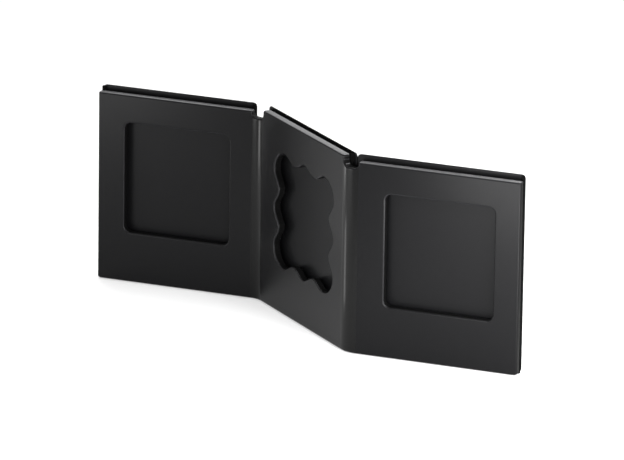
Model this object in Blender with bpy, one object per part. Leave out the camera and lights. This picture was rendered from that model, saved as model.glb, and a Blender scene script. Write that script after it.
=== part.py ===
"""Free-standing zigzag picture display: a bent front sheet with three pockets behind it for pictures.

Metres, +Z up, front towards -Y. The outer panels are parallel to X, and the origin is the middle of the
footprint, on the surface that the display stands on.
"""
import math

import bmesh
import bpy
from mathutils import Matrix, Vector

# Lengths of the three flat panels, and the folds between them
LEFT_FLAT = 0.1260
CENTRE_FLAT = 0.1340
RIGHT_FLAT = 0.1270
BEND_ANGLE = math.radians(40.9)
BEND_INNER_RADIUS = 0.0160
BEND_STEPS = 6

# Heights
OVERALL_HEIGHT = 0.1500
SIDE_SHEET_DROP = 0.0035
CENTRE_SHEET_DROP = 0.0008
CENTRE_PLATE_DROP = 0.0004

# Thicknesses, front to back
SHEET_THICKNESS = 0.0060
SLOT_DEPTH = 0.0033
PLATE_THICKNESS = 0.0012
BOND_GAP = 0.0003

# Edges and corners
SHEET_EDGE_RADIUS = 0.0006
PLATE_EDGE_RADIUS = 0.0003
OUTER_CORNER_RADIUS = 0.0022
PLATE_CORNER_RADIUS = 0.0030
CENTRE_END_CORNER_RADIUS = 0.0022
SIDE_END_CORNER_RADIUS = 0.0008

# Square windows of the outer panels
WINDOW_SIZE = 0.0860
WINDOW_SILL = 0.0389
WINDOW_CORNER_RADIUS = 0.0050
LEFT_WINDOW_MARGIN = 0.0218
RIGHT_WINDOW_MARGIN = 0.0196

# Wavy opening of the middle panel
WAVY_WIDTH = 0.0980
WAVY_HEIGHT = 0.0877
WAVY_SILL = 0.0359
WAVY_SHIFT_TO_RIDGE = 0.0027
WAVY_SIDE_DEPTH = 0.0080
WAVY_END_DEPTH = 0.0055
LOBES_PER_SIDE = 3
POINTS_PER_LOBE = 8

# Notches in the top edge, as wide as the folds
NOTCH_DEPTH = 0.0088
NOTCH_CORNER_RADIUS = 0.0055
NOTCH_LIP_RADIUS = 0.0008

# How far the middle back plate stops short of the line where its plane meets its neighbour's
VALLEY_PLATE_SETBACK = 0.0009
RIDGE_PLATE_SETBACK = 0.0015

# Spacer strips and cards in the pockets
RAIL_WIDTH = 0.0020
RAIL_INSET = 0.0003
RAIL_TOP_DROP = 0.0006
SILL_STRIP_HEIGHT = 0.0080
CARD_THICKNESS = 0.0004
CARD_SIDE_CLEARANCE = 0.0005
CARD_SEAT_GAP = 0.0003
CARD_TOP_DROP = 0.0035

# Worked out from the above
ARC_LENGTH = (BEND_INNER_RADIUS + SHEET_THICKNESS / 2) * BEND_ANGLE
VALLEY_START = LEFT_FLAT
CENTRE_START = VALLEY_START + ARC_LENGTH
RIDGE_START = CENTRE_START + CENTRE_FLAT
RIGHT_START = RIDGE_START + ARC_LENGTH
SHEET_LENGTH = RIGHT_START + RIGHT_FLAT
STACK_DEPTH = SHEET_THICKNESS + SLOT_DEPTH + PLATE_THICKNESS
SIDE_SHEET_TOP = OVERALL_HEIGHT - SIDE_SHEET_DROP
CENTRE_SHEET_TOP = OVERALL_HEIGHT - CENTRE_SHEET_DROP
CENTRE_PLATE_TOP = OVERALL_HEIGHT - CENTRE_PLATE_DROP
NOTCH_FLOOR = OVERALL_HEIGHT - NOTCH_DEPTH
PLATE_DEPTH = SHEET_THICKNESS + SLOT_DEPTH + PLATE_THICKNESS / 2
VALLEY_MEETING = (BEND_INNER_RADIUS + SHEET_THICKNESS + SLOT_DEPTH) * math.tan(BEND_ANGLE / 2)
RIDGE_MEETING = (BEND_INNER_RADIUS - SLOT_DEPTH) * math.tan(BEND_ANGLE / 2)
STRIP_DEPTH = SHEET_THICKNESS + SLOT_DEPTH / 2
STRIP_THICKNESS = SLOT_DEPTH - 2 * BOND_GAP
CARD_DEPTH = SHEET_THICKNESS + SLOT_DEPTH - BOND_GAP - CARD_THICKNESS / 2
CORNER_STEP = math.radians(18)


def direction(heading):
    """Unit vector along the sheet at a heading, seen from above."""
    return Vector((math.cos(heading), math.sin(heading)))


def rearward(heading):
    """Unit vector out of the back of the sheet at a heading."""
    return Vector((-math.sin(heading), math.cos(heading)))


def fold_path():
    """Where each flat panel starts on the front face, and the centres of the two folds, from the left end."""
    valley_point = direction(0) * LEFT_FLAT
    valley_centre = valley_point - rearward(0) * BEND_INNER_RADIUS
    centre_point = valley_centre + rearward(-BEND_ANGLE) * BEND_INNER_RADIUS
    ridge_point = centre_point + direction(-BEND_ANGLE) * CENTRE_FLAT
    ridge_outer_radius = BEND_INNER_RADIUS + SHEET_THICKNESS
    ridge_centre = ridge_point + rearward(-BEND_ANGLE) * ridge_outer_radius
    right_point = ridge_centre - rearward(0) * ridge_outer_radius
    end_point = right_point + direction(0) * RIGHT_FLAT
    return valley_centre, centre_point, ridge_centre, right_point, end_point


VALLEY_CENTRE, CENTRE_POINT, RIDGE_CENTRE, RIGHT_POINT, END_POINT = fold_path()
FOOTPRINT_MIDDLE = Vector((END_POINT.x / 2, (END_POINT.y + STACK_DEPTH) / 2))


def plan_point(along, depth):
    """World x and y of a place on the bent sheet, from its length along the flat sheet and its depth."""
    neutral_radius = BEND_INNER_RADIUS + SHEET_THICKNESS / 2
    if along <= VALLEY_START:
        point = direction(0) * along + rearward(0) * depth
    elif along < CENTRE_START:
        heading = -(along - VALLEY_START) / neutral_radius
        point = VALLEY_CENTRE + rearward(heading) * (BEND_INNER_RADIUS + depth)
    elif along <= RIDGE_START:
        heading = -BEND_ANGLE
        point = CENTRE_POINT + direction(heading) * (along - CENTRE_START) + rearward(heading) * depth
    elif along < RIGHT_START:
        heading = -BEND_ANGLE + (along - RIDGE_START) / neutral_radius
        point = RIDGE_CENTRE - rearward(heading) * (BEND_INNER_RADIUS + SHEET_THICKNESS - depth)
    else:
        point = RIGHT_POINT + direction(0) * (along - RIGHT_START) + rearward(0) * depth
    return point - FOOTPRINT_MIDDLE


def rounded_outline(corners):
    """Points of a closed outline, each corner given as (x, y, radius) and rounded by an arc."""
    points = []
    for index, (x, y, radius) in enumerate(corners):
        here = Vector((x, y))
        before = Vector(corners[index - 1][:2]) - here
        after = Vector(corners[(index + 1) % len(corners)][:2]) - here
        half_angle = before.angle(after) / 2
        reach = radius / math.tan(half_angle)
        inward = (before.normalized() + after.normalized()).normalized()
        centre = here + inward * (radius / math.sin(half_angle))
        start = here + before.normalized() * reach - centre
        turn = start.angle_signed(here + after.normalized() * reach - centre)
        steps = max(2, round(abs(turn) / CORNER_STEP))
        for step in range(steps + 1):
            points.append(centre + Matrix.Rotation(-turn * step / steps, 2) @ start)
    return points


def rectangle_outline(left, right, bottom, top, radius):
    """Points of a rectangle with all four corners rounded alike."""
    corners = [(left, bottom), (right, bottom), (right, top), (left, top)]
    return rounded_outline([(*corner, radius) for corner in corners])


def window_outline(left):
    """Points of a square window that starts at left."""
    top = WINDOW_SILL + WINDOW_SIZE
    return rectangle_outline(left, left + WINDOW_SIZE, WINDOW_SILL, top, WINDOW_CORNER_RADIUS)


def wavy_outline(middle, sill):
    """Points of the wavy opening: each side swings in between its lobes, and a round lobe turns each corner."""
    half_width = WAVY_WIDTH / 2
    half_height = WAVY_HEIGHT / 2
    centre = Vector((middle, sill + half_height))
    points = []
    for quarter in range(4):
        turn = Matrix.Rotation(quarter * math.pi / 2, 2)
        half_length, half_span, depth = half_width, half_height, WAVY_END_DEPTH
        if quarter % 2:
            half_length, half_span, depth = half_height, half_width, WAVY_SIDE_DEPTH
        lobe_length = half_length / LOBES_PER_SIDE
        lobe_span = half_span / LOBES_PER_SIDE
        swings = LOBES_PER_SIDE - 1
        steps = POINTS_PER_LOBE * swings
        for step in range(steps):
            along = (2 * step / steps - 1) * swings * lobe_length
            inward = depth * (1 - math.cos(2 * math.pi * swings * step / steps)) / 2
            points.append(centre + turn @ Vector((along, inward - half_span)))
        corner = Vector((half_length - lobe_length, lobe_span - half_span))
        for step in range(POINTS_PER_LOBE):
            angle = math.pi / 2 * step / POINTS_PER_LOBE
            arm = Vector((math.sin(angle) * lobe_length, -math.cos(angle) * lobe_span))
            points.append(centre + turn @ (corner + arm))
    return points


def sheet_outline():
    """Outer edge of the front sheet laid flat, with the notches at the folds."""
    side_notch = min(NOTCH_CORNER_RADIUS, SIDE_SHEET_TOP - NOTCH_FLOOR - NOTCH_LIP_RADIUS)
    notch = min(NOTCH_CORNER_RADIUS, CENTRE_SHEET_TOP - NOTCH_FLOOR - CENTRE_END_CORNER_RADIUS)
    return rounded_outline([
        (0, 0, OUTER_CORNER_RADIUS),
        (SHEET_LENGTH, 0, OUTER_CORNER_RADIUS),
        (SHEET_LENGTH, SIDE_SHEET_TOP, SIDE_END_CORNER_RADIUS),
        (RIGHT_START, SIDE_SHEET_TOP, NOTCH_LIP_RADIUS),
        (RIGHT_START, NOTCH_FLOOR, side_notch),
        (RIDGE_START, NOTCH_FLOOR, notch),
        (RIDGE_START, CENTRE_SHEET_TOP, CENTRE_END_CORNER_RADIUS),
        (CENTRE_START, CENTRE_SHEET_TOP, CENTRE_END_CORNER_RADIUS),
        (CENTRE_START, NOTCH_FLOOR, notch),
        (VALLEY_START, NOTCH_FLOOR, side_notch),
        (VALLEY_START, SIDE_SHEET_TOP, NOTCH_LIP_RADIUS),
        (0, SIDE_SHEET_TOP, SIDE_END_CORNER_RADIUS),
    ])


def clear_scene():
    """Start from an empty scene."""
    for item in list(bpy.data.objects):
        bpy.data.objects.remove(item)


def make_material(name, colour, roughness):
    """Principled material of one colour."""
    material = bpy.data.materials.new(name)
    material.use_nodes = True
    shader = material.node_tree.nodes["Principled BSDF"]
    shader.inputs["Base Color"].default_value = (*colour, 1)
    shader.inputs["Roughness"].default_value = roughness
    shader.inputs["Metallic"].default_value = 0
    return material


def place(item, parent, location):
    """Put a new object into the part's collection, at a place in its parent's frame."""
    parts.objects.link(item)
    item.parent = parent
    item.location = location
    return item


def panel_frame(name, origin, heading):
    """Empty at the left end of a panel's front face: x along the panel, y into its depth, z up."""
    frame = bpy.data.objects.new(name, None)
    parts.objects.link(frame)
    corner = origin - FOOTPRINT_MIDDLE
    frame.location = (corner.x, corner.y, 0)
    frame.rotation_euler = (0, 0, heading)
    return frame


def cut_sheet(name, outlines, thickness, edge_radius):
    """Flat plate cut to its outlines, with rounded edges, as a mesh in the plane of the outlines."""
    curve = bpy.data.curves.new(name, "CURVE")
    curve.dimensions = "2D"
    curve.fill_mode = "BOTH"
    curve.extrude = thickness / 2 - edge_radius
    curve.bevel_depth = edge_radius
    curve.bevel_resolution = 0
    curve.offset = -edge_radius
    for outline in outlines:
        spline = curve.splines.new("POLY")
        spline.points.add(len(outline) - 1)
        for point, place_on_outline in zip(spline.points, outline):
            point.co = (place_on_outline.x, place_on_outline.y, 0, 1)
        spline.use_cyclic_u = True
    drawing = bpy.data.objects.new(name + "_drawing", curve)
    bpy.context.scene.collection.objects.link(drawing)
    evaluated = drawing.evaluated_get(bpy.context.evaluated_depsgraph_get())
    mesh = bpy.data.meshes.new_from_object(evaluated)
    mesh.name = name
    bpy.data.objects.remove(drawing)
    shape = bmesh.new()
    shape.from_mesh(mesh)
    bmesh.ops.remove_doubles(shape, verts=shape.verts, dist=0.000001)
    shape.to_mesh(mesh)
    shape.free()
    return mesh


def make_front_sheet(material):
    """Cut the sheet flat with its openings, crease it across the folds, and wrap it along the fold path."""
    outlines = [
        sheet_outline(),
        window_outline(LEFT_WINDOW_MARGIN),
        window_outline(SHEET_LENGTH - RIGHT_WINDOW_MARGIN - WINDOW_SIZE),
        wavy_outline(CENTRE_START + CENTRE_FLAT / 2 + WAVY_SHIFT_TO_RIDGE, WAVY_SILL),
    ]
    mesh = cut_sheet("front_sheet", outlines, SHEET_THICKNESS, SHEET_EDGE_RADIUS)
    shape = bmesh.new()
    shape.from_mesh(mesh)
    for start in (VALLEY_START, RIDGE_START):
        for step in range(BEND_STEPS + 1):
            crease = (start + ARC_LENGTH * step / BEND_STEPS, 0, 0)
            whole = shape.verts[:] + shape.edges[:] + shape.faces[:]
            bmesh.ops.bisect_plane(shape, geom=whole, dist=0.000001, plane_co=crease, plane_no=(1, 0, 0))
    for vertex in shape.verts:
        along, height, offset = vertex.co
        point = plan_point(along, SHEET_THICKNESS / 2 - offset)
        vertex.co = (point.x, point.y, height)
    bmesh.ops.triangulate(shape, faces=shape.faces)
    shape.to_mesh(mesh)
    shape.free()
    sheet = place(bpy.data.objects.new("front_sheet", mesh), None, (0, 0, 0))
    mesh.materials.clear()
    mesh.materials.append(material)
    return sheet


def make_plate(name, frame, left, right, top, material):
    """Back plate of one panel, standing on its bottom edge."""
    outline = rectangle_outline(left, right, 0, top, PLATE_CORNER_RADIUS)
    mesh = cut_sheet(name, [outline], PLATE_THICKNESS, PLATE_EDGE_RADIUS)
    mesh.materials.clear()
    mesh.materials.append(material)
    plate = place(bpy.data.objects.new(name, mesh), frame, (0, PLATE_DEPTH, 0))
    plate.rotation_euler = (math.pi / 2, 0, 0)
    return plate


def make_block(name, frame, size, middle, bottom, depth, material):
    """Straight strip or card of size (along, depth, height), with its origin in the middle of its bottom."""
    mesh = bpy.data.meshes.new(name)
    shape = bmesh.new()
    bmesh.ops.create_cube(shape, size=1, matrix=Matrix.Diagonal((*size, 1)))
    bmesh.ops.translate(shape, vec=(0, 0, size[2] / 2), verts=shape.verts)
    shape.to_mesh(mesh)
    shape.free()
    mesh.materials.append(material)
    return place(bpy.data.objects.new(name, mesh), frame, (middle, depth, bottom))


def make_pocket(side, frame, left, right, sheet_top, rail_tops):
    """Two side strips, the bottom strip and the card of one panel, between left and right along the panel."""
    places = (left + RAIL_WIDTH / 2, right - RAIL_WIDTH / 2)
    for end, place_along, rail_top in zip(("left", "right"), places, rail_tops):
        rail_size = (RAIL_WIDTH, STRIP_THICKNESS, rail_top - RAIL_TOP_DROP)
        make_block(f"{side}_spacer_at_{end}_end", frame, rail_size, place_along, 0, STRIP_DEPTH, strip_black)
    clear_width = right - left - 2 * RAIL_WIDTH
    middle = (left + right) / 2
    sill_size = (clear_width - 2 * BOND_GAP, STRIP_THICKNESS, SILL_STRIP_HEIGHT)
    make_block(side + "_bottom_spacer", frame, sill_size, middle, 0, STRIP_DEPTH, strip_black)
    card_bottom = SILL_STRIP_HEIGHT + CARD_SEAT_GAP
    card_height = sheet_top - CARD_TOP_DROP - card_bottom
    card_size = (clear_width - 2 * CARD_SIDE_CLEARANCE, CARD_THICKNESS, card_height)
    make_block(side + "_card", frame, card_size, middle, card_bottom, CARD_DEPTH, card_black)


clear_scene()
parts = bpy.data.collections.new("picture_display")
bpy.context.scene.collection.children.link(parts)

acrylic_black = make_material("black_acrylic", (0.012, 0.012, 0.013), 0.12)
plate_black = make_material("black_plate", (0.014, 0.014, 0.015), 0.18)
strip_black = make_material("black_strip", (0.006, 0.006, 0.006), 0.75)
card_black = make_material("black_card", (0.030, 0.030, 0.032), 0.55)

left_frame = panel_frame("left_panel_frame", Vector((0, 0)), 0)
centre_frame = panel_frame("centre_panel_frame", CENTRE_POINT, -BEND_ANGLE)
right_frame = panel_frame("right_panel_frame", RIGHT_POINT, 0)

make_front_sheet(acrylic_black)
make_plate("left_back_plate", left_frame, 0, LEFT_FLAT, OVERALL_HEIGHT, plate_black)
make_plate("centre_back_plate", centre_frame, VALLEY_PLATE_SETBACK - VALLEY_MEETING,
           CENTRE_FLAT + RIDGE_MEETING - RIDGE_PLATE_SETBACK, CENTRE_PLATE_TOP, plate_black)
make_plate("right_back_plate", right_frame, -RIDGE_MEETING, RIGHT_FLAT, OVERALL_HEIGHT, plate_black)
make_pocket("left", left_frame, RAIL_INSET, LEFT_FLAT, SIDE_SHEET_TOP, (OVERALL_HEIGHT, OVERALL_HEIGHT))
make_pocket("centre", centre_frame, 0, CENTRE_FLAT, CENTRE_SHEET_TOP, (CENTRE_PLATE_TOP, CENTRE_PLATE_TOP))
make_pocket("right", right_frame, 0, RIGHT_FLAT - RAIL_INSET, SIDE_SHEET_TOP, (SIDE_SHEET_TOP, OVERALL_HEIGHT))
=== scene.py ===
# %% [markdown]
# # A zigzag picture display in black acrylic
#
# The display is one sheet of 6 mm acrylic, probably cut flat by a router and then bent hot over a bar at two
# lines, with three thin plates bonded behind it as pockets. Nearly everything you see on it is a reflection,
# because the acrylic itself is close to black. So this lesson is about three things: a clean bent sheet with
# soft edges, the finish of each part of it, and a studio that gives the gloss something to show.

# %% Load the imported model
import math

import bmesh
import bpy
from mathutils import Matrix, Vector


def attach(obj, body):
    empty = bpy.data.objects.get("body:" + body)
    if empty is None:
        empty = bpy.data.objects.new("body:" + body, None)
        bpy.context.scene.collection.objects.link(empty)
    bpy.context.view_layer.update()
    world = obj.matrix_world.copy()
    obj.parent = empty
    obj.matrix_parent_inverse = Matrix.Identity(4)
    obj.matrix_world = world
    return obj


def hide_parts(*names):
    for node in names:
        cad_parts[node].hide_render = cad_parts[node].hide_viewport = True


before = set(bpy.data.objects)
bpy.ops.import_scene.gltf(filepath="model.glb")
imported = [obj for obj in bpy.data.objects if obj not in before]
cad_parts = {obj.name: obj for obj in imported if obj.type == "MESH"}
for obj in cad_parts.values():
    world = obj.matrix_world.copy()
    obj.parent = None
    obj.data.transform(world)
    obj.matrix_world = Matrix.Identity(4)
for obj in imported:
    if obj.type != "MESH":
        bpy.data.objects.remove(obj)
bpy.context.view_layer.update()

# %% [markdown]
# ## The sizes of the bent sheet
#
# A bent sheet is easiest to understand the way the workshop makes it: as a flat cut first. These are the
# sizes of that flat cut, in metres. The flat runs from the left end to the right end, and the two folds
# take a stretch of it each. A fold of 40.9 degrees round an inner radius of 16 mm uses as much of the flat
# as its middle layer is long, because the middle of a bent sheet neither stretches nor shortens.

# %% Sizes of the flat cut and of the folds
LEFT_FLAT, CENTRE_FLAT, RIGHT_FLAT = 0.1260, 0.1340, 0.1270
BEND_ANGLE = math.radians(40.9)
INNER_RADIUS = 0.0160
THICKNESS = 0.0060
STACK_DEPTH = 0.0105  # sheet, slot and back plate together
HEIGHT = 0.1500  # the back plates reach this high, and the sheet's top edges end just below it
SIDE_TOP, CENTRE_TOP, NOTCH_FLOOR = HEIGHT - 0.0035, HEIGHT - 0.0008, HEIGHT - 0.0088
OUTER_RADIUS = INNER_RADIUS + THICKNESS
NEUTRAL_RADIUS = INNER_RADIUS + THICKNESS / 2
ARC = NEUTRAL_RADIUS * BEND_ANGLE
CENTRE_START = LEFT_FLAT + ARC
RIDGE_START = CENTRE_START + CENTRE_FLAT
RIGHT_START = RIDGE_START + ARC
FLAT_LENGTH = RIGHT_START + RIGHT_FLAT
print("length of the flat cut in mm:", round(FLAT_LENGTH * 1000, 1))

# %% [markdown]
# ## From the flat cut to the bent sheet
#
# Each place on the flat is a length along it and a depth into it. The fold path turns those two numbers
# into a place in the room: straight along a panel, round an arc in a fold. It could be done with two Simple
# Deform modifiers, but a small function keeps the panels exactly flat and the folds exactly round.

# %% The fold path
def direction(heading):
    """Unit vector along the sheet at a heading, seen from above."""
    return Vector((math.cos(heading), math.sin(heading)))


def rearward(heading):
    """Unit vector out of the back of the sheet at a heading."""
    return Vector((-math.sin(heading), math.cos(heading)))


valley_centre = direction(0) * LEFT_FLAT - rearward(0) * INNER_RADIUS
centre_corner = valley_centre + rearward(-BEND_ANGLE) * INNER_RADIUS
ridge_centre = centre_corner + direction(-BEND_ANGLE) * CENTRE_FLAT + rearward(-BEND_ANGLE) * OUTER_RADIUS
right_corner = ridge_centre - rearward(0) * OUTER_RADIUS
right_end = right_corner + direction(0) * RIGHT_FLAT
footprint_middle = Vector((right_end.x / 2, (right_end.y + STACK_DEPTH) / 2))


def on_sheet(along, depth):
    """Place in the room, seen from above, of a length along the flat and a depth behind its front."""
    if along <= LEFT_FLAT:
        place = direction(0) * along + rearward(0) * depth
    elif along < CENTRE_START:
        heading = -(along - LEFT_FLAT) / NEUTRAL_RADIUS
        place = valley_centre + rearward(heading) * (INNER_RADIUS + depth)
    elif along <= RIDGE_START:
        heading = -BEND_ANGLE
        place = centre_corner + direction(heading) * (along - CENTRE_START) + rearward(heading) * depth
    elif along < RIGHT_START:
        heading = -BEND_ANGLE + (along - RIDGE_START) / NEUTRAL_RADIUS
        place = ridge_centre - rearward(heading) * (OUTER_RADIUS - depth)
    else:
        place = right_corner + direction(0) * (along - RIGHT_START) + rearward(0) * depth
    return place - footprint_middle


print("left end in mm:", [round(value * 1000, 1) for value in on_sheet(0, 0)])
print("right end in mm:", [round(value * 1000, 1) for value in on_sheet(FLAT_LENGTH, 0)])

# %% [markdown]
# ## The outlines
#
# Four outlines are cut: the edge with its two half-round notches, a square window in each outer panel, and
# the wavy opening in the middle. A round cutter leaves every inner corner as an arc, so a helper rounds the
# corners of an outline. The wavy opening has three lobes to a side, which a cosine draws with no effort, and
# its corners are quarter ellipses that carry the lobes round.

# %% Rounded corners
def rounded(corners, steps=10):
    """Points of a closed outline, each corner given as (x, y, radius) and turned by an arc."""
    points = []
    for index, (x, y, radius) in enumerate(corners):
        here = Vector((x, y))
        before = (Vector(corners[index - 1][:2]) - here).normalized()
        after = (Vector(corners[(index + 1) % len(corners)][:2]) - here).normalized()
        half_angle = before.angle(after) / 2
        centre = here + (before + after).normalized() * (radius / math.sin(half_angle))
        arm = here + before * (radius / math.tan(half_angle)) - centre
        turn = arm.angle_signed(here + after * (radius / math.tan(half_angle)) - centre)
        for step in range(steps + 1):
            points.append(centre + Matrix.Rotation(-turn * step / steps, 2) @ arm)
    return points


def square_window(left, sill=0.0389, size=0.0860, radius=0.0050):
    """Outline of a square window of an outer panel."""
    right, top = left + size, sill + size
    return rounded([(left, sill, radius), (right, sill, radius), (right, top, radius), (left, top, radius)])


print("points round a square window:", len(square_window(0)))

# %% The wavy opening
LOBE_STEPS, CORNER_STEPS = 20, 14


def wavy_opening(middle, sill=0.0359, width=0.0980, height=0.0877, side_depth=0.0080, end_depth=0.0055):
    """Outline with three lobes to a side, as deep as side_depth on the upright sides."""
    centre = Vector((middle, sill + height / 2))
    points = []
    for quarter in range(4):
        turn = Matrix.Rotation(quarter * math.pi / 2, 2)
        length, span, depth = (height, width, side_depth) if quarter % 2 else (width, height, end_depth)
        for step in range(2 * LOBE_STEPS):
            along = (step / LOBE_STEPS - 1) * length / 3
            inward = depth * (1 - math.cos(2 * math.pi * step / LOBE_STEPS)) / 2
            points.append(centre + turn @ Vector((along, inward - span / 2)))
        corner = Vector((length / 3, -span / 3))
        for step in range(CORNER_STEPS):
            angle = math.pi / 2 * step / CORNER_STEPS
            arm = Vector((math.sin(angle) * length / 6, -math.cos(angle) * span / 6))
            points.append(centre + turn @ (corner + arm))
    return points


print("points round the wavy opening:", len(wavy_opening(0)))

# %% The outer edge with its notches, and all openings
SMALL_CORNER, END_CORNER, NOTCH_SIDE, NOTCH_CORNER = 0.0013, 0.0022, 0.0040, 0.0055
sheet_edge = rounded([
    (0, 0, END_CORNER),
    (FLAT_LENGTH, 0, END_CORNER),
    (FLAT_LENGTH, SIDE_TOP, SMALL_CORNER),
    (RIGHT_START, SIDE_TOP, SMALL_CORNER),
    (RIGHT_START, NOTCH_FLOOR, NOTCH_SIDE),
    (RIDGE_START, NOTCH_FLOOR, NOTCH_CORNER),
    (RIDGE_START, CENTRE_TOP, END_CORNER),
    (CENTRE_START, CENTRE_TOP, END_CORNER),
    (CENTRE_START, NOTCH_FLOOR, NOTCH_CORNER),
    (LEFT_FLAT, NOTCH_FLOOR, NOTCH_SIDE),
    (LEFT_FLAT, SIDE_TOP, SMALL_CORNER),
    (0, SIDE_TOP, SMALL_CORNER),
])
LEFT_MARGIN, RIGHT_MARGIN, WINDOW, WAVY_SHIFT = 0.0218, 0.0196, 0.0860, 0.0027
openings = [
    square_window(LEFT_MARGIN, size=WINDOW),
    square_window(FLAT_LENGTH - RIGHT_MARGIN - WINDOW, size=WINDOW),
    wavy_opening(CENTRE_START + CENTRE_FLAT / 2 + WAVY_SHIFT),
]
print("points in the edge:", len(sheet_edge), "and in the openings:", [len(points) for points in openings])

# %% [markdown]
# ## Cutting and polishing the flat
#
# A 2D curve with holes is the natural way to cut a sheet in Blender: its extrude gives the thickness and its
# bevel gives the softened edge. The edge radius matters more than any texture here, because the thin light
# lines beside the openings in the photograph are the studio seen in that radius. The curve's offset pulls the
# outline in by the radius, so that the bevel brings it back to the true size.

# %% Cut a flat sheet with softened edges
EDGE_RADIUS, EDGE_STEPS = 0.0013, 3


def cut_flat(name, outlines, thickness, edge_radius, edge_steps):
    """Mesh of a flat sheet in the plane of its outlines, with rounded edges."""
    curve = bpy.data.curves.new(name, "CURVE")
    curve.dimensions = "2D"
    curve.fill_mode = "BOTH"
    curve.extrude = thickness / 2 - edge_radius
    curve.bevel_depth = edge_radius
    curve.bevel_resolution = edge_steps
    curve.offset = -edge_radius
    for outline in outlines:
        spline = curve.splines.new("POLY")
        spline.points.add(len(outline) - 1)
        for point, place in zip(spline.points, outline):
            point.co = (place.x, place.y, 0, 1)
        spline.use_cyclic_u = True
    drawing = bpy.data.objects.new(name + "_drawing", curve)
    bpy.context.scene.collection.objects.link(drawing)
    depsgraph = bpy.context.evaluated_depsgraph_get()
    mesh = bpy.data.meshes.new_from_object(drawing.evaluated_get(depsgraph))
    bpy.data.objects.remove(drawing)
    return mesh


sheet_mesh = cut_flat("front_sheet_flat", [sheet_edge] + openings, THICKNESS, EDGE_RADIUS, EDGE_STEPS)
print("flat sheet:", len(sheet_mesh.vertices), "vertices")

# %% [markdown]
# ## Bending it
#
# A mesh can only bend where it has vertices, so the flat is first creased with a cut every 1.7 degrees of
# fold. Each face is given its finish while the sheet is still flat, where top, side and inside are easy to
# tell. The lips at the top and the left of each opening, and along the top of the outer panels, get a paler
# colour, which is a painted highlight; the others keep the finish of the face. Then every vertex moves along
# the fold path. Smooth shading alone would smear light from the round edges across the big faces, so a
# weighted normal keeps them flat: it lets the largest faces decide.

# %% The finish of each face
FACE, LIP, CUT_WALL, TOP_EDGE, FOLD = range(5)
# How far a face's normal leans out of the sheet, up, or along it, as a share of its length
FACING_OUT, FACING_UP, A_LITTLE_UP, ALONG_THE_SHEET, INTO_OPENING = 0.98, 0.75, 0.1, 0.25, 0.3
ABOVE_NOTCH = NOTCH_FLOOR + 0.001
LIP_REACH = 1.1 * EDGE_RADIUS
OPENINGS_END = 0.135  # height above all openings and below the notches
print("folds lie along the flat, in mm, at:", [round(value * 1000, 1) for value in (
    LEFT_FLAT, CENTRE_START, RIDGE_START, RIGHT_START)])


def zone_of(face):
    """Finish of a face of the flat, whose y is height and whose z is depth."""
    middle, normal = face.calc_center_median(), face.normal
    if abs(normal.z) > FACING_OUT:
        # The fold faces take the darker fold colour, painted shade beside each fold's highlight.
        folded = LEFT_FLAT < middle.x < CENTRE_START or RIDGE_START < middle.x < RIGHT_START
        return FOLD if folded else FACE
    # Upward faces along the top take the pale top-edge colour, partly a scraped satin and partly a painted
    # sheen.
    if middle.y > ABOVE_NOTCH and normal.y > FACING_UP:
        return TOP_EDGE
    # These lips, and those at the top and left of the openings below, take the paler lip colour, a painted
    # highlight.
    if normal.y > A_LITTLE_UP and abs(middle.y - SIDE_TOP) < LIP_REACH:
        return LIP
    if abs(normal.z) < ALONG_THE_SHEET:
        return CUT_WALL
    inside = THICKNESS < middle.x < FLAT_LENGTH - THICKNESS and THICKNESS < middle.y < OPENINGS_END
    return LIP if inside and (normal.y < -INTO_OPENING or normal.x > INTO_OPENING) else FACE


# %% Crease the folds and wrap the sheet
BEND_STEPS = 24
SAME_PLACE = 0.000001
SHARPEST_SMOOTH = math.radians(50)
shape = bmesh.new()
shape.from_mesh(sheet_mesh)
bmesh.ops.remove_doubles(shape, verts=shape.verts, dist=SAME_PLACE)
for start in (LEFT_FLAT, RIDGE_START):
    for step in range(BEND_STEPS + 1):
        line = (start + ARC * step / BEND_STEPS, 0, 0)
        whole = shape.verts[:] + shape.edges[:] + shape.faces[:]
        bmesh.ops.bisect_plane(shape, geom=whole, dist=SAME_PLACE, plane_co=line, plane_no=(1, 0, 0))
shape.normal_update()
for face in shape.faces:
    face.material_index = zone_of(face)
for vertex in shape.verts:
    along, height, offset = vertex.co
    place = on_sheet(along, THICKNESS / 2 - offset)
    vertex.co = (place.x, place.y, height)
shape.to_mesh(sheet_mesh)
shape.free()
sheet_mesh.shade_smooth()
sheet_mesh.set_sharp_from_angle(angle=SHARPEST_SMOOTH)

front_sheet = bpy.data.objects.new("bent_front_sheet", sheet_mesh)
bpy.context.scene.collection.objects.link(front_sheet)
weights = front_sheet.modifiers.new("flat faces stay flat", "WEIGHTED_NORMAL")
weights.keep_sharp = True
weights.weight = 100
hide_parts("front_sheet")
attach(front_sheet, "frame")
print("bent sheet:", len(sheet_mesh.polygons), "faces")

# %% [markdown]
# ## One way to write colours and nodes
#
# Colours are easiest to judge as the hex values that a colour picker shows, but Blender's shaders add up
# light in linear numbers. One function turns the first into the second. A second one adds a shader node
# with its settings and its links, so that each material below reads as a short list.

# %% Colour and node helpers
def linear(hex_colour):
    """Linear RGBA of an sRGB hex colour such as 1c1c1e."""
    channels = [int(hex_colour[index:index + 2], 16) / 255 for index in (0, 2, 4)]
    return tuple(c / 12.92 if c <= 0.04045 else ((c + 0.055) / 1.055) ** 2.4 for c in channels) + (1,)


def add_node(tree, kind, settings=(), **links):
    """Add a node, set its values, and link its inputs from (node, output) pairs."""
    node = tree.nodes.new(kind)
    for name, value in dict(settings).items():
        if name in node.inputs:
            node.inputs[name].default_value = value
        else:
            setattr(node, name, value)
    for name, (source, output) in links.items():
        tree.links.new(source.outputs[output], node.inputs[name.replace("_", " ")])
    return node


def new_material(name):
    """Node material with its tree and its surface shader."""
    material = bpy.data.materials.new(name)
    material.use_nodes = True
    return material, material.node_tree, material.node_tree.nodes["Principled BSDF"]


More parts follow.
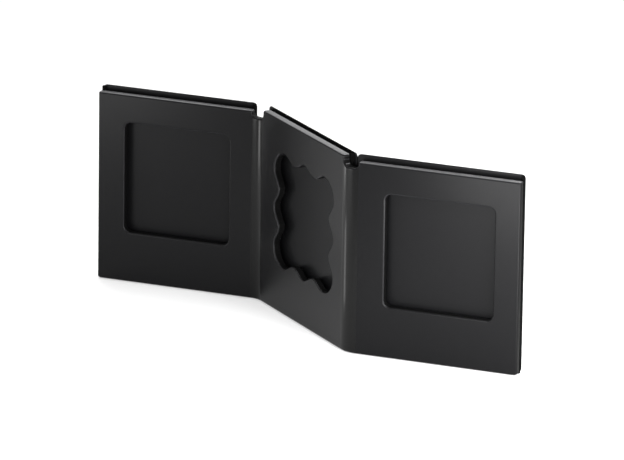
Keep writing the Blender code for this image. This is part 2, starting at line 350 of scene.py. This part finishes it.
def dress(material, word):
    """Give a material to every CAD node whose name holds the word."""
    nodes = [node for name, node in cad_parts.items() if word in name]
    for node in nodes:
        node.data.materials.clear()
        node.data.materials.append(material)
    print(material.name, "on", len(nodes), "nodes")


print("black acrylic in linear light:", [round(value, 4) for value in linear("0b0b0c")])

# %% [markdown]
# ## Cast black acrylic, in five finishes
#
# Cast acrylic (PMMA) has an index of refraction of 1.49, and its black pigment lets almost nothing back out,
# so nearly all that the eye gets is the mirrored studio. One sheet still shows five finishes: the big face is
# wiped and blurs what it mirrors, the folds are glossier from the heat and a shade darker, which is painted
# shade, the lips at the top and left of the openings are paler, which is a painted highlight, the cutter
# leaves the walls of the cut dull, and the top edge is a pale satin, partly scraped and partly a painted sheen.
# The photograph shows only the tones; the steps behind them are a guess that gives such tones. The pigment
# also varies a little in specks of one or two millimetres, which is coarser than real pigment, so that it can
# show at all. The roughness of each finish is one number, since patches of gloss would show as stains on a
# face this dark.

# %% Black acrylic
ACRYLIC_IOR = 1.49


def acrylic(name, dark, light, level, roughness, grain):
    """Black acrylic whose pigment varies between two colours over specks of grain metres."""
    material, tree, shader = new_material(name)
    shader.inputs["IOR"].default_value = ACRYLIC_IOR
    shader.inputs["Specular IOR Level"].default_value = level
    shader.inputs["Roughness"].default_value = roughness
    where = add_node(tree, "ShaderNodeTexCoord")
    specks = add_node(tree, "ShaderNodeTexNoise", {"Scale": 1 / grain, "Detail": 3}, Vector=(where, "Object"))
    pigment = add_node(tree, "ShaderNodeMix", {"data_type": "RGBA", "A": linear(dark), "B": linear(light)})
    tree.links.new(specks.outputs["Fac"], pigment.inputs["Factor"])
    tree.links.new(pigment.outputs["Result"], shader.inputs["Base Color"])
    return material


# %% The five finishes of the sheet
# The wiped face gives the eye one soft gradient from top to bottom, and no sharp mirror image.
wiped_face = acrylic("cast_black_acrylic_wiped", "0a0a0b", "0c0c0d", 0.10, 0.27, 0.002)
# The lips are a little paler, which is a painted highlight. To the eye they are a thin grey line down the left
# of each window.
lip_painted_highlight = acrylic("black_acrylic_lip_painted_highlight", "18181a", "1c1c1d", 0.12, 0.25, 0.002)
# The cutter leaves the walls of the cut dull, so they stay dark even at a flat angle.
cut_wall = acrylic("black_acrylic_routed_wall", "0c0c0c", "101010", 0.02, 0.39, 0.001)
# The top edge is the palest finish: its fine scratches spread the light of the lamps behind, and its pale
# colour is partly the scraped satin and partly a painted sheen.
scraped_edge_and_painted_sheen = acrylic("black_acrylic_scraped_top_edge_and_painted_sheen", "28282a", "303032", 0.50, 0.38, 0.001)
# Heat flows the skin of the folds smooth, so a lamp shows in them as an upright line. Their darker colour is
# painted shade beside that line.
heated_fold_painted_shade = acrylic("black_acrylic_heat_glossed_fold_painted_shade", "070707", "090909", 0.15, 0.17, 0.002)

finish_of = {FACE: wiped_face, LIP: lip_painted_highlight, CUT_WALL: cut_wall, TOP_EDGE: scraped_edge_and_painted_sheen,
             FOLD: heated_fold_painted_shade}
for zone in sorted(finish_of):
    front_sheet.data.materials.append(finish_of[zone])
    count = sum(1 for face in sheet_mesh.polygons if face.material_index == zone)
    print(finish_of[zone].name, "on", count, "faces")

# %% [markdown]
# ## Back plates
#
# The plates are 1.2 mm acrylic, glossy on the face but sawn on the edge, and a sawn edge mirrors nothing. At
# a flat angle even a rough gloss mirrors the white studio, so the sawn edge is a plain diffuse black instead,
# mixed in wherever the surface looks up, down or sideways along the panel. The middle plate stands at 40.9
# degrees, where the face's own normal has a y of 0.756, so the mix ends just below that. To the eye the edge
# is a thin dead black line behind the paler sheet. The gloss of the face varies a little over patches of
# 1.5 mm, as rubbed acrylic does; real rub marks are finer than that and wouldn't show.

# %% Back plate acrylic with a sawn edge
plate_acrylic, tree, shader = new_material("thin_black_acrylic_sawn_edge")
shader.inputs["IOR"].default_value = ACRYLIC_IOR
shader.inputs["Specular IOR Level"].default_value = 0.08
where = add_node(tree, "ShaderNodeTexCoord")
facing = add_node(tree, "ShaderNodeSeparateXYZ", Vector=(where, "Normal"))
across = add_node(tree, "ShaderNodeMath", {"operation": "ABSOLUTE"})
tree.links.new(facing.outputs["Y"], across.inputs[0])
FACE_BEGINS, EDGE_BEGINS = 0.75, 0.65
sawn = add_node(tree, "ShaderNodeMapRange", {"From Min": FACE_BEGINS, "From Max": EDGE_BEGINS},
                Value=(across, "Value"))
plate_colour = add_node(tree, "ShaderNodeMix",
                        {"data_type": "RGBA", "A": linear("161617"), "B": linear("050505")},
                        Factor=(sawn, "Result"))
tree.links.new(plate_colour.outputs["Result"], shader.inputs["Base Color"])
RUB_MARK = 0.0015
rub_marks = add_node(tree, "ShaderNodeTexNoise", {"Scale": 1 / RUB_MARK, "Detail": 2}, Vector=(where, "Object"))
face_roughness = add_node(tree, "ShaderNodeMapRange", {"To Min": 0.26, "To Max": 0.34},
                          Value=(rub_marks, "Fac"))
edge_roughness = add_node(tree, "ShaderNodeMix", {"data_type": "FLOAT", "B": 1.0},
                          Factor=(sawn, "Result"), A=(face_roughness, "Result"))
tree.links.new(edge_roughness.outputs["Result"], shader.inputs["Roughness"])

# %% Mix in the matt edge and dress the plates
sawn_matt = add_node(tree, "ShaderNodeBsdfDiffuse", {"Color": linear("050505")})
face_or_edge = add_node(tree, "ShaderNodeMixShader")
tree.links.new(sawn.outputs["Result"], face_or_edge.inputs["Fac"])
tree.links.new(shader.outputs["BSDF"], face_or_edge.inputs[1])
tree.links.new(sawn_matt.outputs["BSDF"], face_or_edge.inputs[2])
tree.links.new(face_or_edge.outputs["Shader"], tree.nodes["Material Output"].inputs["Surface"])
dress(plate_acrylic, "_back_plate")

# %% [markdown]
# ## Spacer strips and cards
#
# The strips that hold the plates off the sheet are a black foam tape, matt through its open cells, and they
# only show as a dark line at the ends. The cells of such tape are some tenths of a millimetre across; here
# they are 0.6 mm, which is coarser, so that they can show. The cards are smooth charcoal card, pressed to a
# satin, with a mottle of fibres about a millimetre long. They give the openings their quiet dark ground.

# %% Spacer tape
spacer_tape, tree, shader = new_material("black_spacer_tape")
shader.inputs["Base Color"].default_value = linear("0c0c0c")
shader.inputs["Specular IOR Level"].default_value = 0.0
where = add_node(tree, "ShaderNodeTexCoord")
CELL = 0.0006
cells = add_node(tree, "ShaderNodeTexNoise", {"Scale": 1 / CELL, "Detail": 2}, Vector=(where, "Object"))
cell_roughness = add_node(tree, "ShaderNodeMapRange", {"To Min": 0.75, "To Max": 0.95}, Value=(cells, "Fac"))
tree.links.new(cell_roughness.outputs["Result"], shader.inputs["Roughness"])
dress(spacer_tape, "_spacer")

# %% Charcoal card
charcoal_card, tree, shader = new_material("smooth_charcoal_card")
shader.inputs["IOR"].default_value = 1.45
shader.inputs["Specular IOR Level"].default_value = 0.10
shader.inputs["Roughness"].default_value = 0.34
where = add_node(tree, "ShaderNodeTexCoord")
FIBRE = 0.0012
fibres = add_node(tree, "ShaderNodeTexNoise", {"Scale": 1 / FIBRE, "Detail": 4}, Vector=(where, "Object"))
mottle = add_node(tree, "ShaderNodeMix", {"data_type": "RGBA", "A": linear("0a0a0b"), "B": linear("0e0e0f")})
tree.links.new(fibres.outputs["Fac"], mottle.inputs["Factor"])
tree.links.new(mottle.outputs["Result"], shader.inputs["Base Color"])
dress(charcoal_card, "_card")

# %% [markdown]
# ## The studio
#
# The photograph has a pure white background. The floor is a plain white sheet under a soft light, and a
# small share of glow, which only sight lines and reflections get, lifts it almost to white without adding
# any light to the display. Its contact shadow stays. What the glossy faces show is this floor: seen from 16
# degrees above, an upright face mirrors the floor in front of it, and the higher up the face, the farther
# out on the floor.

# %% A value that depends on the kind of ray
def by_ray(tree, lighting, sight):
    """Node whose value is sight for camera, glossy and transmission rays, and lighting for all others."""
    paths = add_node(tree, "ShaderNodeLightPath")
    seen = (paths, "Is Camera Ray")
    for kind in ("Is Glossy Ray", "Is Transmission Ray"):
        either = add_node(tree, "ShaderNodeMath", {"operation": "MAXIMUM"})
        tree.links.new(seen[0].outputs[seen[1]], either.inputs[0])
        tree.links.new(paths.outputs[kind], either.inputs[1])
        seen = (either, "Value")
    return add_node(tree, "ShaderNodeMapRange", {"To Min": lighting, "To Max": sight}, Value=seen)


# %% Floor
FLOOR_HALF_SIDE, FLOOR_DROP, GLOW_SHARE = 6.0, 0.0005, 0.3
floor_mesh = bpy.data.meshes.new("floor")
shape = bmesh.new()
bmesh.ops.create_grid(shape, x_segments=1, y_segments=1, size=FLOOR_HALF_SIDE)
shape.to_mesh(floor_mesh)
shape.free()
floor = bpy.data.objects.new("floor", floor_mesh)
floor.location = (0, 0, -FLOOR_DROP)
bpy.context.scene.collection.objects.link(floor)

white_floor, tree, shader = new_material("white_studio_floor")
shader.inputs["Base Color"].default_value = linear("ffffff")
shader.inputs["Roughness"].default_value = 0.9
shader.inputs["Specular IOR Level"].default_value = 0.0
glow = add_node(tree, "ShaderNodeEmission", {"Color": linear("ffffff"), "Strength": 1.0})
floor_or_glow = add_node(tree, "ShaderNodeMixShader")
tree.links.new(by_ray(tree, 0.0, GLOW_SHARE).outputs["Result"], floor_or_glow.inputs["Fac"])
tree.links.new(shader.outputs["BSDF"], floor_or_glow.inputs[1])
tree.links.new(glow.outputs["Emission"], floor_or_glow.inputs[2])
tree.links.new(floor_or_glow.outputs["Shader"], tree.nodes["Material Output"].inputs["Surface"])
floor_mesh.materials.append(white_floor)
print("floor:", 2 * FLOOR_HALF_SIDE, "m wide")

# %% World
LIGHTING_STRENGTH, SIGHT_STRENGTH = 0.5, 1.0
world = bpy.data.worlds.new("pale_studio")
bpy.context.scene.world = world
world.use_nodes = True
background = world.node_tree.nodes["Background"]
background.inputs["Color"].default_value = linear("ffffff")
sky_strength = by_ray(world.node_tree, LIGHTING_STRENGTH, SIGHT_STRENGTH)
world.node_tree.links.new(sky_strength.outputs["Result"], background.inputs["Strength"])
print("world:", world.name)

# %% [markdown]
# ## The lamps
#
# One large softbox overhead carries the light of the studio. Black gloss is then drawn with small lamps that
# are seen in it: cards low in front make the faces grow lighter to the left and to the right end, two narrow
# strips at the left draw the bright line along each fold, and cards behind the display light the top edges.
# The small ones stand near and are weak, so that they hardly reach the floor.

# %% Lamps
def softbox(name, location, target, width, height, watts):
    """Rectangular soft lamp at location, turned towards target."""
    lamp = bpy.data.lights.new(name, "AREA")
    lamp.shape = "RECTANGLE"
    lamp.size = width
    lamp.size_y = height
    lamp.energy = watts
    holder = bpy.data.objects.new(name, lamp)
    holder.location = location
    holder.rotation_euler = (Vector(target) - Vector(location)).to_track_quat("-Z", "Y").to_euler()
    holder.visible_camera = False
    bpy.context.scene.collection.objects.link(holder)


softbox("overhead_softbox", (0.0, 0.4, 1.8), (0.0, 0.3, 0.0), 1.6, 1.6, 26.0)
softbox("front_left_card", (-0.35, -0.30, 0.09), (-0.10, 0.00, 0.08), 0.16, 0.14, 0.48)
softbox("front_right_card", (0.14, -0.36, 0.09), (0.12, 0.00, 0.08), 0.24, 0.14, 1.45)
softbox("right_end_card", (0.33, -0.17, 0.07), (0.12, 0.00, 0.06), 0.16, 0.12, 0.95)
softbox("floor_pool_lamp", (0.30, -0.25, 0.30), (0.17, -0.14, 0.00), 0.12, 0.12, 1.00)
softbox("valley_strip", (-0.43, -0.07, 0.03), (0.00, -0.03, 0.03), 0.06, 0.08, 0.15)
softbox("ridge_strip", (-0.075, -0.075, 0.01), (0.05, -0.055, 0.05), 0.02, 0.10, 0.030)
softbox("back_card", (-0.22, 0.75, 0.36), (0.00, 0.00, 0.12), 0.20, 0.15, 0.15)
softbox("high_left_card", (-0.35, 0.33, 0.62), (-0.13, 0.04, 0.15), 0.20, 0.20, 1.00)
softbox("high_back_card", (0.17, 0.32, 0.45), (0.13, 0.00, 0.15), 0.25, 0.20, 2.5)

# %% [markdown]
# ## The camera
#
# Fitted to the photograph, the camera stands about five and a half metres away and has a long lens, so the
# upright edges stay almost parallel. It needs three facts here: the point that it looks at, the direction it
# looks from, and how far away it is. The picture leans by less than a degree, a turn about the line of sight.

# %% Camera
AIM_POINT = Vector((-0.02595, 0.07317, 0.05024))
AZIMUTH, ELEVATION, LEAN = math.radians(22.478), math.radians(16.304), math.radians(0.854)
DISTANCE, FARTHEST_SEEN = 5.5115, 50
LENS, SENSOR = 421.85, 36  # both in mm
looking = Vector((-math.sin(AZIMUTH) * math.cos(ELEVATION), math.cos(AZIMUTH) * math.cos(ELEVATION),
                  -math.sin(ELEVATION)))
camera = bpy.data.objects.new("camera", bpy.data.cameras.new("camera"))
camera.data.sensor_width = SENSOR
camera.data.lens = LENS
camera.data.clip_end = FARTHEST_SEEN
camera.location = AIM_POINT - looking * DISTANCE
level_view = Matrix.Rotation(AZIMUTH, 3, "Z") @ Matrix.Rotation(math.pi / 2 - ELEVATION, 3, "X")
camera.rotation_euler = (level_view @ Matrix.Rotation(LEAN, 3, "Z")).to_euler()
bpy.context.scene.collection.objects.link(camera)
bpy.context.scene.camera = camera
bpy.context.scene.view_settings.view_transform = "Standard"
print("camera at:", [round(value, 3) for value in camera.location])
